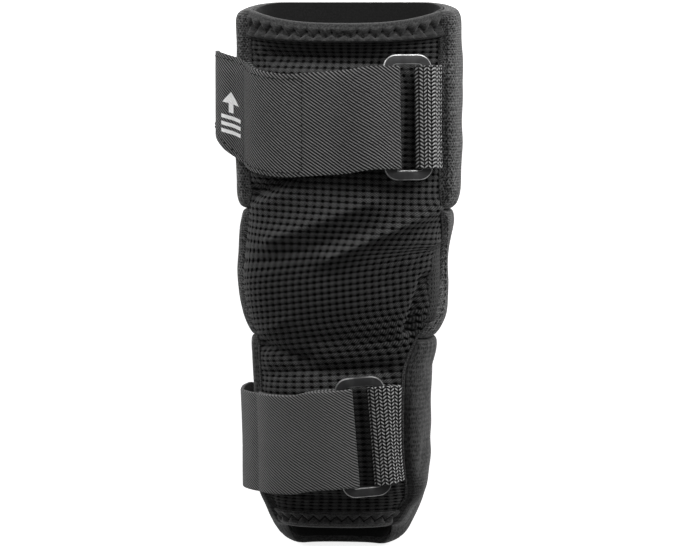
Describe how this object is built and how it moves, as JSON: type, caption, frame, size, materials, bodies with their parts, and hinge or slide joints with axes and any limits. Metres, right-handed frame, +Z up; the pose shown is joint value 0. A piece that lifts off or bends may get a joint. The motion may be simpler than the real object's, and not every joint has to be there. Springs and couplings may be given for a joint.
{
  "type": "lacrosse arm pad",
  "caption": "Padded sleeve in three foam blocks round the back of an arm, closed over the inside of the elbow by stretch mesh and two elastic straps through rings",
  "frame": {"origin": "on the surface that the pad lies on, under the middle of its outline", "axes": "+Y along the arm to the shoulder end, +X to the side with the rings, +Z up out of the mesh side"},
  "size_m": [0.1238, 0.282, 0.0929],
  "materials": {
    "cover": "matte black knit over foam",
    "liner": "smooth dark grey cloth",
    "mesh": "black spacer mesh with rows of small holes",
    "hem": "soft black binding with zigzag stitches",
    "elastic": "charcoal ribbed elastic",
    "webbing": "charcoal herringbone webbing",
    "ring": "dark enamel, worn bright at the edges"
  },
  "bodies": {
    "root": {"upper_arm_pad": "cover", "elbow_pad": "cover", "forearm_pad": "cover", "liner": "liner", "mesh_panel": "mesh", "elbow_gusset": "mesh", "shoulder_hem": "hem", "wrist_hem": "hem", "upper_strap": "elastic", "lower_strap": "elastic", "upper_ring": "ring", "lower_ring": "ring", "upper_ring_tab": "webbing", "lower_ring_tab": "webbing"}
  },
  "joints": []
}
